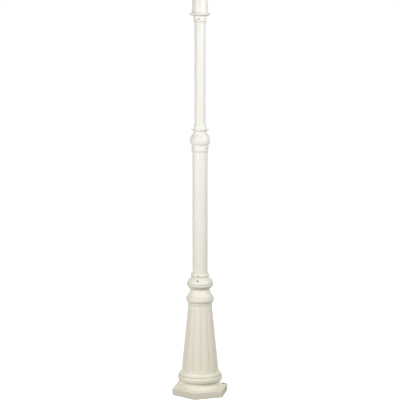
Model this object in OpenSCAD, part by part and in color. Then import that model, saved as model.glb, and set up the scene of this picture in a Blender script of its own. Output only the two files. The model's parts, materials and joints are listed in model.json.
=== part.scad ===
// Two-stage residential lamp post without its lantern: a hollow cast pedestal on a hexagonal
// foot, a cast neck and collar, two tubular shafts joined by a cast coupling, and a cast
// fitting with a tenon that a lantern slips over. Round set screws clamp the castings.
// The origin is the middle of the three anchor holes, on the ground. +Z is up, and one corner
// of the foot, the one with an anchor hole in it, points along -Y.

/* [Foot] */
// How far a corner of the hexagonal foot reaches beyond the round moulding
foot_reach = 32; // [26:0.5:40]
// Radius of the foot's upright corners
foot_corner_round = 6; // [4:0.5:12]
// Height of the foot's upright edge
foot_edge_h = 34; // [28:0.5:40]
// Bevel along the top of that edge
foot_edge_bevel = 3; // [1:0.5:4]
// Wall of the pedestal casting
pedestal_wall = 6; // [4:0.5:7]
// Radius of the hollow curve that rises from the foot
cove_r = 24.8; // [21:0.2:29]
// Flat margin between the hollow curve and the bevel
foot_margin = 0.5; // [0.2:0.1:3]

/* [Anchor holes] */
// Number of anchor holes
anchor_count = 3; // [2:1:6]
// Distance from a corner of the foot to the anchor hole in it
anchor_inset = 18.5; // [17:0.5:21]
// Diameter of an anchor hole
anchor_hole_d = 13.5; // [10:0.5:15]
// Radius of the flat seat for a washer, and of the boss under it
anchor_seat_r = 12; // [10:0.5:12.5]
// Thickness of the rib from the boss to the corner
anchor_rib_t = 6; // [4:0.5:8]

/* [Base moulding] */
// Short upright band between the hollow curve and the round moulding
base_band_h = 6.2; // [2:0.2:8]
// Largest radius of the round moulding
base_torus_r = 109.5; // [105:0.5:114]
// How far the round moulding bulges
base_torus_bulge = 9.5; // [7:0.5:12]
// Height of the round moulding below its widest part
base_torus_drop = 15; // [12:0.5:18]
// Height that the round moulding would have above its widest part
base_torus_rise = 17.5; // [16.5:0.5:20]
// Height of the crease above the widest part
base_crease_h = 16; // [12:0.5:16]
// Height of the shoulder above the crease
shoulder_h = 11; // [8:0.5:16]
// How far the shoulder steps out from the column
shoulder_step = 12.2; // [9:0.2:14]
// Radius of the fillet at the column's foot
column_fillet_r = 4; // [2:0.5:6]

/* [Column] */
// How far the fluted column's foot stands back from the round moulding
column_step = 17.5; // [14:0.5:21]
// Radius of the fluted column at its top
column_top_r = 58.4; // [55:0.2:60]
// Height of the fluted column
column_h = 335; // [250:1:400]

/* [Flutes] */
// Number of flutes around the column
flute_count = 12; // [6:1:16]
// Radius of the tool that would cut a flute
flute_tool_r = 30; // [20:1:40]
// Depth of a flute
flute_depth = 2; // [1:0.25:3]
// Distance from the column's foot to the lower end of a flute
flute_foot_gap = 13; // [5:1:40]
// Distance from the column's top to the upper end of a flute
flute_top_gap = 20; // [12:1:60]

/* [Neck] */
// Radius of the flat ring on top of the column
neck_ring_r = 61; // [59:0.2:64]
// Height of the flat ring
neck_ring_h = 10.5; // [8:0.5:14]
// Largest radius of the round moulding
neck_torus_r = 69.2; // [66:0.2:72]
// How far the round moulding bulges
neck_torus_bulge = 8.7; // [6:0.1:10]
// Height of the round moulding
neck_torus_h = 30; // [26:0.5:34]
// Height of the round moulding that shows below the crease
neck_crease_h = 26.5; // [22:0.5:28]
// Smallest radius of the neck
neck_r = 49.4; // [48:0.2:54]
// Radius of the hollow curve of the neck
neck_cove_r = 48.5; // [44:0.5:56]
// Height of the hollow curve
neck_cove_h = 38.5; // [30:0.5:42]
// Height of the plain band that ends the neck
neck_band_h = 0.5; // [0.5:0.5:5]
// Depth of the round spigot that drops into the column
neck_spigot_h = 12; // [8:1:20]
// Wall of the neck casting
neck_wall = 6; // [4:0.5:8]

/* [Collar] */
// Height of the sleeve of the neck inside the collar
sleeve_h = 50; // [46:0.5:54]
// Wall of the sleeve
sleeve_wall = 4.4; // [3:0.2:5]
// Radius of the collar's lowest edge
collar_rim_r = 51; // [50:0.5:56]
// Width of the collar's lowest edge
collar_rim_w = 5; // [3:0.5:6]
// Height of the collar's lowest edge, inside
collar_rim_h = 3; // [2:0.5:5]
// Open gap between the neck and the collar's lowest edge
collar_gap = 1.5; // [0.5:0.1:3]
// Height of the bevel under the collar's widest band
collar_bevel_h = 12.5; // [9:0.5:15]
// Largest radius of the collar
collar_bulb_r = 65.3; // [62:0.2:68]
// Height of the widest band
collar_band_h = 11.5; // [8:0.5:14]
// How far the edges of the widest band are rounded back
collar_band_round = 2; // [1:0.5:3]
// How far the rounded shoulder stands back from the widest band
collar_bulb_step = 0.8; // [0.4:0.1:1.5]
// Height of the rounded shoulder above the widest band
collar_bulb_h = 28.5; // [22:0.5:32]
// Radius of the waist between the shoulder and the ring
collar_waist_r = 43.8; // [43:0.2:47]
// Height of the waist
collar_waist_h = 4.5; // [3:0.5:9]
// Largest radius of the ring
collar_ring_r = 46.6; // [45:0.2:50]
// Height of the ring
collar_ring_h = 20; // [16:0.5:24]
// Height of the ring's widest part above its foot
collar_ring_mid_h = 9; // [6:0.5:9.5]
// How far inside the waist the rounded shoulder's oval is centred
bulb_inset = 4; // [3:0.5:6]
// Wall of the hollow castings above the pedestal
cast_wall = 5.5; // [4:0.5:7]

/* [Shafts] */
// Outer radius of the lower shaft
lower_shaft_r = 36.8; // [34:0.1:38]
// Length of the lower shaft
lower_shaft_l = 716; // [500:1:900]
// Outer radius of the upper shaft
upper_shaft_r = 26.3; // [24:0.1:28]
// Length of the upper shaft
upper_shaft_l = 593; // [400:1:800]
// Wall of both shafts
shaft_wall = 2.5; // [2:0.1:4]
// Depth of the lower shaft below the top of the neck's plain band
lower_socket_h = 19; // [10:1:24]
// Width of the ledge that a shaft stands on
ledge_w = 5.5; // [4:0.5:7]
// Thickness of that ledge
ledge_t = 5; // [3:0.5:6]

/* [Coupling] */
// Depth of the lower shaft inside the coupling
coupling_socket_h = 32; // [24:1:40]
// Radius of the coupling's lower sleeve
coupling_sleeve_r = 40.2; // [39:0.1:42]
// Radius of the bead at the lower end of the sleeve
coupling_bead_r = 41; // [40.4:0.1:43]
// Height of the bead and its rounded end
coupling_bead_h = 14; // [12:0.5:18]
// Height of the bead's widest part
coupling_bead_mid_h = 10; // [6:0.5:11]
// Height of the lower sleeve under the ball
coupling_sleeve_h = 36; // [30:0.5:40]
// Radius of the ball
ball_r = 48.6; // [46:0.2:52]
// Distance from the ball's lower cut to its middle
ball_drop = 18; // [12:0.5:20]
// Radius of the neck above the ball
coupling_neck_r = 32.2; // [31.6:0.2:34]
// Height of the neck above the ball
coupling_neck_h = 2.5; // [1:0.5:8]
// Radius of the coupling's flange
coupling_flange_r = 41.5; // [39:0.5:44]
// Height of the hollow curve under the flange
coupling_flare_h = 10.5; // [7:0.5:13]
// Thickness of the flange's edge
coupling_flange_t = 5.5; // [3:0.5:7]
// Radius of the socket above the flange
coupling_mouth_r = 30.4; // [29.6:0.1:32]
// Height of the socket above the flange
coupling_mouth_h = 25; // [20:0.5:32]
// Depth of the upper shaft inside the coupling
upper_socket_h = 76; // [60:1:84]

/* [Lantern fitting] */
// Radius of the fitting's lower lip
fitter_lip_r = 27.9; // [27.8:0.1:29]
// Height of the sloping lip
fitter_lip_h = 6; // [3:0.5:8]
// Radius of the bead
fitter_bead_r = 32.4; // [31.8:0.1:35]
// Height of the bead
fitter_bead_h = 9; // [6:0.5:12]
// Radius of the plain band above the bead
fitter_band_r = 31.1; // [30.5:0.1:31.6]
// Height of the plain band
fitter_band_h = 12; // [8:0.5:16]
// Height of the curve that spreads to the flange
fitter_flare_h = 16; // [12:0.5:22]
// Radius of the flange that the lantern rests on
fitter_flange_r = 49.3; // [45:0.1:54]
// Thickness of the flange's edge
fitter_flange_t = 4.5; // [3:0.5:9]
// Depth of the upper shaft inside the fitting
fitter_socket_h = 39; // [30:1:40]
// Outer radius of the tenon
tenon_r = 38.1; // [36:0.1:40]
// Height of the tenon above the flange
tenon_h = 60; // [50:0.5:80]
// Wall of the tenon
tenon_wall = 4; // [3:0.5:6]

/* [Set screws] */
// Number of set screws in each row
screw_count = 3; // [2:1:4]
// Radius of the small set screws
screw_r = 3; // [2.5:0.1:3.5]
// Radius of the larger set screws on the collar's shoulder
lock_screw_r = 4; // [3:0.1:4.5]
// How deep a screw's outer face lies below the casting around it
screw_sink = 0.8; // [0.2:0.1:1.5]
// Size of a screw's hexagonal socket, as a share of the screw
socket_share = 0.55; // [0.4:0.05:0.65]
// Depth of that socket, as a share of the screw's radius
socket_depth_share = 0.6; // [0.4:0.05:0.8]
// Height of the ring's screws above the foot of the ring
ring_screw_h = 8.5; // [6:0.5:12]
// Height of the shoulder's screws above the widest band
lock_screw_h = 19; // [16:0.5:20]
// Height of the coupling's screws above its lower end
coupling_screw_h = 18; // [17:0.5:26]
// Height of the fitting's screws above its lower end
fitter_screw_h = 19; // [18:0.5:23]

/* [Edges and creases] */
// Bevel on the edges of the flanges and of the tenon
edge_bevel = 1; // [0.5:0.5:1.5]
// Depth of the V-shaped creases above the mouldings
crease_depth = 1.2; // [0.4:0.1:1.5]
// Width of those creases
crease_w = 2; // [1:0.5:3]

/* [Fits] */
// Radial clearance between a shaft and the casting around it
shaft_clearance = 0.3; // [0.2:0.05:0.6]
// Radial clearance between nested castings
spigot_clearance = 0.4; // [0.2:0.05:0.6]

/* [Hidden] */

$fn = 96;
arc_n = 14;
over = 1;
screw_fn = 32;
front = -90;
paint = [0.93, 0.92, 0.87];
steel = [0.35, 0.34, 0.33];

// Levels and radii of the pedestal
column_foot_r = base_torus_r - column_step;
foot_corner_r = base_torus_r + foot_reach;
anchor_r = foot_corner_r - anchor_inset;
foot_flat_r = (foot_corner_r - foot_corner_round) * cos(30) + foot_corner_round;
cove_out_r = foot_flat_r - foot_edge_bevel - foot_margin;
base_band_r = cove_out_r - cove_r;
cove_top_z = foot_edge_h + cove_r;
torus_z = cove_top_z + base_band_h + base_torus_drop;
crease_z = torus_z + base_crease_h;
column_z = crease_z + shoulder_h;
column_top_z = column_z + column_h;
column_slope = (column_foot_r - column_top_r) / column_h;

// Levels of the neck and the collar
neck_ring_z = column_top_z + neck_ring_h;
neck_torus_z = neck_ring_z + neck_torus_h / 2;
neck_cove_z = neck_ring_z + neck_crease_h;
neck_top_z = neck_cove_z + neck_cove_h + neck_band_h;
sleeve_z = neck_top_z + sleeve_h;
lower_bore_r = lower_shaft_r + shaft_clearance;
sleeve_r = lower_bore_r + sleeve_wall;
collar_z = neck_top_z + collar_gap;
collar_band_z = collar_z + collar_bevel_h;
collar_bulb_z = collar_band_z + collar_band_h;
collar_waist_z = collar_bulb_z + collar_bulb_h;
collar_ring_z = collar_waist_z + collar_waist_h;
collar_top_z = collar_ring_z + collar_ring_h;

// Levels of the shafts, the coupling and the fitting
lower_shaft_z = neck_top_z - lower_socket_h;
lower_shaft_top_z = lower_shaft_z + lower_shaft_l;
coupling_z = lower_shaft_top_z - coupling_socket_h;
ball_cut_z = coupling_z + coupling_sleeve_h;
ball_z = ball_cut_z + ball_drop;
coupling_neck_z = ball_z + sqrt(pow(ball_r, 2) - pow(coupling_neck_r, 2));
coupling_flange_z = coupling_neck_z + coupling_neck_h + coupling_flare_h;
coupling_mouth_z = coupling_flange_z + coupling_flange_t;
coupling_top_z = coupling_mouth_z + coupling_mouth_h;
upper_bore_r = upper_shaft_r + shaft_clearance;
upper_shaft_z = coupling_top_z - upper_socket_h;
upper_shaft_top_z = upper_shaft_z + upper_shaft_l;
fitter_z = upper_shaft_top_z - fitter_socket_h;
fitter_band_z = fitter_z + fitter_lip_h + fitter_bead_h;
fitter_flare_z = fitter_band_z + fitter_band_h;
fitter_flange_z = fitter_flare_z + fitter_flare_h;
fitter_seat_z = fitter_flange_z + fitter_flange_t;
tenon_top_z = fitter_seat_z + tenon_h;

// Heights of the rows of set screws, and how far their holes are cut
ring_screw_z = collar_ring_z + ring_screw_h;
lock_screw_z = collar_bulb_z + lock_screw_h;
coupling_screw_z = coupling_z + coupling_screw_h;
fitter_screw_z = fitter_z + fitter_screw_h;
screw_hole_l = 2 * collar_bulb_r;

// The oval of the collar's rounded shoulder, which runs into the waist
bulb_in_r = collar_waist_r - bulb_inset;
bulb_a = collar_bulb_r - collar_bulb_step - bulb_in_r;
bulb_waist_a = acos((collar_waist_r - bulb_in_r) / bulb_a);
bulb_b = collar_bulb_h / sin(bulb_waist_a);

// Points of an oval arc about (cr, cz), from angle a0 to angle a1
function oval(cr, cz, a, b, a0, a1) = [
    for (i = [0 : arc_n])
        let (t = a0 + (a1 - a0) * i / arc_n)
        [cr + a * cos(t), cz + b * sin(t)]
];

// Radius of the column's plain surface at height z
function column_r(z) = column_top_r + column_slope * (column_top_z - z);

// A hexagon whose corners lie at distance r, one of them along -Y
module hexagon(r) {
    rotate(30)
        circle(r = r, $fn = 6);
}

// Outline of the foot, a hexagon with rounded corners
module foot_outline() {
    centre_r = foot_corner_r - foot_corner_round;
    for (i = [0 : 5])
        rotate(front + i * 60) {
            translate([centre_r, 0])
                circle(r = foot_corner_round);
            rotate(30)
                translate([0, -centre_r / 2])
                    square([foot_flat_r, centre_r]);
        }
}

// What the bevel takes off along the top of the foot
module foot_bevel() {
    out_r = foot_corner_r + over;
    for (i = [0 : 5])
        rotate(i * 60)
            translate([foot_flat_r, 0, foot_edge_h])
                rotate([0, 45, 0])
                    cube(
                        [foot_edge_bevel * sqrt(2), 2 * out_r, foot_edge_bevel * sqrt(2)],
                        center = true
                    );
    rotate_extrude()
        polygon([
            [out_r, foot_edge_h - foot_edge_bevel - over],
            [out_r, foot_edge_h + over],
            [foot_corner_r - foot_edge_bevel - over, foot_edge_h + over]
        ]);
}

// Outer outline of the pedestal above its foot
module pedestal_outline() {
    torus_in_r = base_torus_r - base_torus_bulge;
    crease_a = asin((base_crease_h - crease_w / 2) / base_torus_rise);
    crease_r = torus_in_r + base_torus_bulge * cos(crease_a) - crease_depth;
    shoulder_in_r = column_foot_r + column_fillet_r;
    shoulder_a = asin(crease_w / 2 / shoulder_h);
    fillet_z = column_z + column_fillet_r;
    polygon(concat(
        [[0, foot_edge_h - over], [cove_out_r, foot_edge_h - over]],
        oval(cove_out_r, cove_top_z, cove_r, cove_r, 270, 180),
        [[base_band_r, cove_top_z + base_band_h]],
        oval(torus_in_r, torus_z, base_torus_bulge, base_torus_drop, -90, 0),
        oval(
            torus_in_r, torus_z, base_torus_bulge, base_torus_rise, crease_a / arc_n, crease_a
        ),
        [[crease_r, crease_z]],
        oval(
            shoulder_in_r, crease_z, shoulder_step - column_fillet_r, shoulder_h, shoulder_a, 90
        ),
        oval(
            shoulder_in_r, fillet_z, column_fillet_r, column_fillet_r,
            270 - 90 / arc_n, 180 + 90 / arc_n
        ),
        [[column_top_r, column_top_z], [0, column_top_z]]
    ));
}

// Inner outline of the pedestal above its foot
module pedestal_hollow() {
    cove_in_r = cove_r + pedestal_wall;
    band_in_r = base_band_r - pedestal_wall;
    column_in_r = column_foot_r - pedestal_wall;
    belly_r = base_torus_r - pedestal_wall;
    belly_low_b = base_torus_drop - pedestal_wall;
    belly_high_b = column_z - pedestal_wall - torus_z;
    roof_a = 250;
    polygon(concat(
        [
            [0, foot_edge_h - pedestal_wall - over],
            [cove_out_r + cove_in_r * cos(roof_a), foot_edge_h - pedestal_wall - over]
        ],
        oval(cove_out_r, cove_top_z, cove_in_r, cove_in_r, roof_a, 180),
        oval(band_in_r, torus_z, belly_r - band_in_r, belly_low_b, -90, 0),
        oval(column_in_r, torus_z, belly_r - column_in_r, belly_high_b, 90 / arc_n, 90),
        [
            [column_in_r, column_z],
            [column_top_r - pedestal_wall, column_top_z],
            [column_top_r - pedestal_wall, column_top_z + over],
            [0, column_top_z + over]
        ]
    ));
}

// One round-ended flute tool, lying along the column's slope at angle 0
module flute_tool() {
    tilt = atan(column_slope);
    centre_out = flute_tool_r - flute_depth;
    end_l = sqrt(pow(flute_tool_r, 2) - pow(centre_out, 2));
    low_z = column_z + flute_foot_gap + end_l;
    high_z = column_top_z - flute_top_gap - end_l;
    low_x = column_r(low_z) + centre_out * cos(tilt);
    length = (high_z - low_z) / cos(tilt);
    translate([low_x, 0, low_z])
        rotate([0, -tilt, 0]) {
            cylinder(r = flute_tool_r, h = length);
            sphere(r = flute_tool_r);
            translate([0, 0, length])
                sphere(r = flute_tool_r);
        }
}

// Boss for an anchor hole inside one corner of the foot, with a rib to the corner
module anchor_boss() {
    rib_l = foot_corner_r - pedestal_wall / 2 - anchor_r;
    linear_extrude(foot_edge_h - pedestal_wall / 2) {
        translate([anchor_r, 0])
            circle(r = anchor_seat_r);
        translate([anchor_r, -anchor_rib_t / 2])
            square([rib_l, anchor_rib_t]);
    }
}

module pedestal() {
    color(paint)
        difference() {
            union() {
                difference() {
                    union() {
                        difference() {
                            linear_extrude(foot_edge_h)
                                foot_outline();
                            foot_bevel();
                        }
                        rotate_extrude()
                            pedestal_outline();
                    }
                    translate([0, 0, -over])
                        linear_extrude(foot_edge_h - pedestal_wall + over)
                            hexagon((foot_flat_r - pedestal_wall) / cos(30));
                    rotate_extrude()
                        pedestal_hollow();
                }
                for (i = [0 : anchor_count - 1])
                    rotate(front + i * 360 / anchor_count)
                        anchor_boss();
            }
            for (i = [0 : anchor_count - 1])
                rotate(front + i * 360 / anchor_count)
                    translate([anchor_r, 0, 0]) {
                        translate([0, 0, -over])
                            cylinder(d = anchor_hole_d, h = foot_edge_h + 2 * over);
                        translate([0, 0, foot_edge_h])
                            cylinder(r = anchor_seat_r, h = pedestal_wall);
                    }
            for (i = [0 : flute_count - 1])
                rotate(front + (i + 0.5) * 360 / flute_count)
                    flute_tool();
        }
}

module neck() {
    torus_in_r = neck_torus_r - neck_torus_bulge;
    crease_a = asin((neck_cove_z - crease_w / 2 - neck_torus_z) / (neck_torus_h / 2));
    crease_r = torus_in_r + neck_torus_bulge * cos(crease_a) - crease_depth;
    cove_end_a = 180 + asin((neck_cove_h - crease_w / 2) / neck_cove_r);
    spigot_r = column_top_r - pedestal_wall - spigot_clearance;
    spigot_in_r = spigot_r - neck_wall;
    belly_r = neck_torus_r - 2 * neck_wall;
    ledge_in_r = lower_bore_r - ledge_w;
    ledge_z = lower_shaft_z - ledge_t;
    color(paint)
        rotate_extrude()
            polygon(concat(
                [
                    [spigot_in_r, column_top_z - neck_spigot_h],
                    [spigot_r, column_top_z - neck_spigot_h],
                    [spigot_r, column_top_z],
                    [neck_ring_r, column_top_z],
                    [neck_ring_r, neck_ring_z - over]
                ],
                oval(torus_in_r, neck_torus_z, neck_torus_bulge, neck_torus_h / 2, -90, crease_a),
                [[crease_r, neck_cove_z]],
                oval(
                    neck_r + neck_cove_r, neck_top_z - neck_band_h, neck_cove_r, neck_cove_r,
                    cove_end_a, 180
                ),
                [
                    [neck_r, neck_top_z],
                    [sleeve_r, neck_top_z],
                    [sleeve_r, sleeve_z],
                    [lower_bore_r, sleeve_z],
                    [lower_bore_r, lower_shaft_z],
                    [ledge_in_r, lower_shaft_z],
                    [ledge_in_r, ledge_z],
                    [lower_bore_r, ledge_z],
                    [belly_r, neck_torus_z + neck_wall],
                    [belly_r, neck_torus_z - neck_wall],
                    [spigot_in_r, column_top_z + neck_wall]
                ]
            ));
}

module collar() {
    rim_in_r = collar_rim_r - collar_rim_w;
    bevel_r = collar_bulb_r - collar_band_round;
    crease_r = bevel_r - crease_depth;
    band_a = asin(1 - crease_w / collar_band_h);
    bulb_low_a = asin(crease_w / 2 / bulb_b);
    ring_b = collar_ring_h - collar_ring_mid_h;
    ring_a = collar_ring_r - lower_bore_r;
    sleeve_bore_r = sleeve_r + spigot_clearance;
    roof_z = collar_bulb_z + lock_screw_h - 2 * lock_screw_r;
    wall_r = collar_bulb_r - cast_wall;
    color(paint)
        difference() {
            rotate_extrude()
                polygon(concat(
                    [
                        [rim_in_r, collar_z],
                        [collar_rim_r, collar_z]
                    ],
                    oval(
                        bevel_r, collar_band_z + collar_band_h / 2, collar_band_round,
                        collar_band_h / 2, -90, band_a
                    ),
                    [[crease_r, collar_bulb_z]],
                    oval(bulb_in_r, collar_bulb_z, bulb_a, bulb_b, bulb_low_a, bulb_waist_a),
                    [[collar_waist_r, collar_ring_z]],
                    oval(
                        lower_bore_r, collar_ring_z + collar_ring_mid_h, ring_a, ring_b,
                        -asin(collar_ring_mid_h / ring_b), 90
                    ),
                    [
                        [lower_bore_r, sleeve_z],
                        [sleeve_bore_r, sleeve_z],
                        [sleeve_bore_r, roof_z],
                        [wall_r - cast_wall, roof_z],
                        [wall_r, collar_bulb_z - cast_wall / 2],
                        [wall_r, collar_band_z + cast_wall / 2],
                        [wall_r - cast_wall, collar_band_z - cast_wall / 2],
                        [rim_in_r, collar_z + collar_rim_h]
                    ]
                ));
            for (i = [0 : screw_count - 1])
                rotate(front + i * 360 / screw_count) {
                    radial_hole(lower_shaft_r, ring_screw_z, screw_r);
                    radial_hole(sleeve_r, lock_screw_z, lock_screw_r);
                }
        }
}

module lower_shaft() {
    color(paint)
        tube(lower_shaft_r, lower_shaft_z, lower_shaft_l);
}

module upper_shaft() {
    color(paint)
        tube(upper_shaft_r, upper_shaft_z, upper_shaft_l);
}

// A plain round tube standing at height z
module tube(r, z, length) {
    translate([0, 0, z])
        difference() {
            cylinder(r = r, h = length);
            translate([0, 0, -over])
                cylinder(r = r - shaft_wall, h = length + 2 * over);
        }
}

module coupling() {
    neck_a = acos(coupling_neck_r / ball_r);
    cut_a = -asin(ball_drop / ball_r);
    inner_r = ball_r - cast_wall;
    tube_r = upper_bore_r + sleeve_wall;
    web_z = ball_cut_z + cast_wall;
    inner_cut_a = asin((web_z - ball_z) / inner_r);
    inner_top_a = acos(tube_r / inner_r);
    ledge_z = upper_shaft_z - ledge_t;
    flare_z = coupling_neck_z + coupling_neck_h;
    bead_w = coupling_bead_r - lower_bore_r;
    flare_r = coupling_flange_r - edge_bevel / 2;
    mouth_a = coupling_mouth_r - upper_bore_r;
    mouth_b = coupling_mouth_h / 2;
    color(paint)
        difference() {
            rotate_extrude()
                polygon(concat(
                    oval(
                        lower_bore_r, coupling_z + coupling_bead_mid_h, bead_w,
                        coupling_bead_mid_h, -90, 0
                    ),
                    [
                        [coupling_sleeve_r, coupling_z + coupling_bead_h],
                        [coupling_sleeve_r, ball_cut_z]
                    ],
                    oval(0, ball_z, ball_r, ball_r, cut_a, neck_a),
                    oval(
                        flare_r, flare_z, flare_r - coupling_neck_r, coupling_flare_h, 180, 90
                    ),
                    [
                        [coupling_flange_r, coupling_flange_z + edge_bevel],
                        [coupling_flange_r, coupling_mouth_z - edge_bevel],
                        [coupling_flange_r - edge_bevel, coupling_mouth_z],
                        [coupling_mouth_r, coupling_mouth_z]
                    ],
                    oval(upper_bore_r, coupling_top_z - mouth_b, mouth_a, mouth_b, 0, 90),
                    [
                        [upper_bore_r, upper_shaft_z],
                        [upper_bore_r - ledge_w, upper_shaft_z],
                        [upper_bore_r - ledge_w, ledge_z],
                        [tube_r, ledge_z]
                    ],
                    oval(0, ball_z, inner_r, inner_r, inner_top_a, inner_cut_a),
                    [
                        [lower_bore_r - ledge_w, web_z],
                        [lower_bore_r - ledge_w, lower_shaft_top_z],
                        [lower_bore_r, lower_shaft_top_z]
                    ]
                ));
            for (i = [0 : screw_count - 1])
                rotate(front + 180 + i * 360 / screw_count)
                    radial_hole(lower_shaft_r, coupling_screw_z, screw_r);
        }
}

module lantern_fitting() {
    bead_w = fitter_bead_r - upper_bore_r;
    bead_low_a = -acos((fitter_lip_r + edge_bevel - upper_bore_r) / bead_w);
    bead_high_a = acos((fitter_band_r - upper_bore_r) / bead_w);
    cavetto_r = fitter_flare_h / 2;
    bulge = fitter_flange_r - fitter_band_r - cavetto_r;
    color(paint)
        difference() {
            rotate_extrude()
                polygon(concat(
                    [
                        [upper_bore_r, fitter_z],
                        [fitter_lip_r, fitter_z],
                        [fitter_lip_r + edge_bevel, fitter_z + fitter_lip_h]
                    ],
                    oval(
                        upper_bore_r, fitter_z + fitter_lip_h + fitter_bead_h / 2, bead_w,
                        fitter_bead_h / 2, bead_low_a, bead_high_a
                    ),
                    oval(
                        fitter_band_r + cavetto_r, fitter_flare_z, cavetto_r, cavetto_r, 180, 90
                    ),
                    oval(
                        fitter_band_r + cavetto_r, fitter_flange_z, bulge, cavetto_r,
                        90 / arc_n - 90, 0
                    ),
                    [
                        [fitter_flange_r, fitter_seat_z - edge_bevel],
                        [fitter_flange_r - edge_bevel, fitter_seat_z],
                        [tenon_r, fitter_seat_z],
                        [tenon_r, tenon_top_z - edge_bevel],
                        [tenon_r - edge_bevel, tenon_top_z],
                        [tenon_r - tenon_wall, tenon_top_z],
                        [tenon_r - tenon_wall, upper_shaft_top_z + ledge_t],
                        [upper_bore_r - ledge_w, upper_shaft_top_z + ledge_t],
                        [upper_bore_r - ledge_w, upper_shaft_top_z],
                        [upper_bore_r, upper_shaft_top_z]
                    ]
                ));
            for (i = [0 : screw_count - 1])
                rotate(front + i * 360 / screw_count)
                    radial_hole(upper_shaft_r, fitter_screw_z, screw_r);
        }
}

// A round hole that runs outwards from radius r at height z
module radial_hole(r, z, hole_r) {
    translate([r - over, 0, z])
        rotate([0, 90, 0])
            cylinder(r = hole_r, h = screw_hole_l, $fn = screw_fn);
}

// A set screw from the surface it clamps, at radius r, to its outer face
module set_screw(r, outer_r, z, body_r) {
    face_r = outer_r - screw_sink;
    socket_r = body_r * socket_share;
    socket_depth = body_r * socket_depth_share;
    color(steel)
        difference() {
            translate([r, 0, z])
                rotate([0, 90, 0])
                    cylinder(r = body_r, h = face_r - r, $fn = screw_fn);
            translate([face_r - socket_depth, 0, z])
                rotate([0, 90, 0])
                    cylinder(r = socket_r, h = body_r, $fn = 6);
        }
}

module ring_screw(i) {
    rotate(front + i * 360 / screw_count)
        set_screw(lower_shaft_r, collar_ring_r, ring_screw_z, screw_r);
}

module lock_screw(i) {
    face_r = bulb_in_r + bulb_a * sqrt(1 - pow((lock_screw_h + lock_screw_r) / bulb_b, 2));
    rotate(front + i * 360 / screw_count)
        set_screw(sleeve_r, face_r, lock_screw_z, lock_screw_r);
}

module coupling_screw(i) {
    rotate(front + 180 + i * 360 / screw_count)
        set_screw(lower_shaft_r, coupling_sleeve_r, coupling_screw_z, screw_r);
}

module fitting_screw(i) {
    rotate(front + i * 360 / screw_count)
        set_screw(upper_shaft_r, fitter_band_r, fitter_screw_z, screw_r);
}

pedestal();
neck();
collar();
lower_shaft();
coupling();
upper_shaft();
lantern_fitting();
ring_screw(0);  // ring_screw_1
ring_screw(1);  // ring_screw_2
ring_screw(2);  // ring_screw_3
lock_screw(0);  // lock_screw_1
lock_screw(1);  // lock_screw_2
lock_screw(2);  // lock_screw_3
coupling_screw(0);  // coupling_screw_1
coupling_screw(1);  // coupling_screw_2
coupling_screw(2);  // coupling_screw_3
fitting_screw(0);  // fitting_screw_1
fitting_screw(1);  // fitting_screw_2
fitting_screw(2);  // fitting_screw_3
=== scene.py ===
import json
import math
from collections import namedtuple

import bmesh
import bpy
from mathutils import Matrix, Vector


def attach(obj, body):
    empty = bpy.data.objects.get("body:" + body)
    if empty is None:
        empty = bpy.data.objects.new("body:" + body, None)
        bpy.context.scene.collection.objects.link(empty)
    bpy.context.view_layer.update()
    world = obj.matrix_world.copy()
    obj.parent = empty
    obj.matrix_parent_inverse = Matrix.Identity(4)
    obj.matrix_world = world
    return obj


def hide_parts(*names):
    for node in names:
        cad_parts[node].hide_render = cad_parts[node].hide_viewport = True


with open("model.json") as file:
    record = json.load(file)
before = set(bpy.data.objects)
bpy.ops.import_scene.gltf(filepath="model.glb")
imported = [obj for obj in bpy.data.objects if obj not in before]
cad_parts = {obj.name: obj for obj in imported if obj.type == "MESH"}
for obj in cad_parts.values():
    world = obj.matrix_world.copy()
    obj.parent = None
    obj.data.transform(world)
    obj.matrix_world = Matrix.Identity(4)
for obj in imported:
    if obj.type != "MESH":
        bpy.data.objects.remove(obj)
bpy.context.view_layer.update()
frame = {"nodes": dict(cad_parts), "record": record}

# Blender and the frame count in metres. Values said to be in mm are multiplied by MM
MM = 0.001

# The photograph's camera, worked out from the hexagonal foot and the rings, in metres
PHOTO_PX = 400
FOCAL_PX = 1274.4
SENSOR_MM = 36.0
CAMERA_AZIMUTH = math.radians(11.5)
CAMERA_DISTANCE = 6.101
CAMERA_HEIGHT = 1.669
CAMERA_TILT = math.radians(6.72)
AXIS_PX = 200.05

# Surfaces, as linear colours
IVORY = (0.845, 0.828, 0.788)
IVORY_WARM = (0.834, 0.812, 0.760)
# brown of the painted shade in hollows, joints and flutes and on the foot's sides
PAINTED_SHADE_COLOUR = (0.30, 0.235, 0.165)
# warm tint of the painted floor bounce low on the post
LOW_BOUNCE_TINT = (0.80, 0.69, 0.33)
# dark of the painted shade in the rear anchor holes
HOLE_SHADE_COLOUR = (0.085, 0.072, 0.058)
SCREW_DARK = (0.075, 0.058, 0.047)
SCREW_LIGHT = (0.22, 0.19, 0.165)

# Noise textures, each with its scale per metre and its detail
MOTTLE_NOISE = (6.0, 3.0)
# patches of the painted shade in the hollows
HOLLOW_SHADE_NOISE = (45.0, 4.0)
PEEL_NOISE = (260.0, 2.0)
GRAIN_NOISE = (700.0, 3.0)
STEEL_NOISE = (300.0, 3.0)

# Gloss paint. A span is the noise values between which the look changes, depths are in metres
MOTTLE_SPAN = (0.35, 0.65)
GLOSS_SPAN = (0.3, 0.7)
GLOSS_ROUGHNESS = (0.34, 0.46)
PEEL_STRENGTH = 0.25
PEEL_DEPTH = 0.0003
CAST_GRAIN = 0.3
TUBE_GRAIN = 0.1
GRAIN_DEPTH = 0.0002
PAINT_SPECULAR = 0.4
COAT_WEIGHT = 0.1
COAT_ROUGHNESS = 0.2

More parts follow.
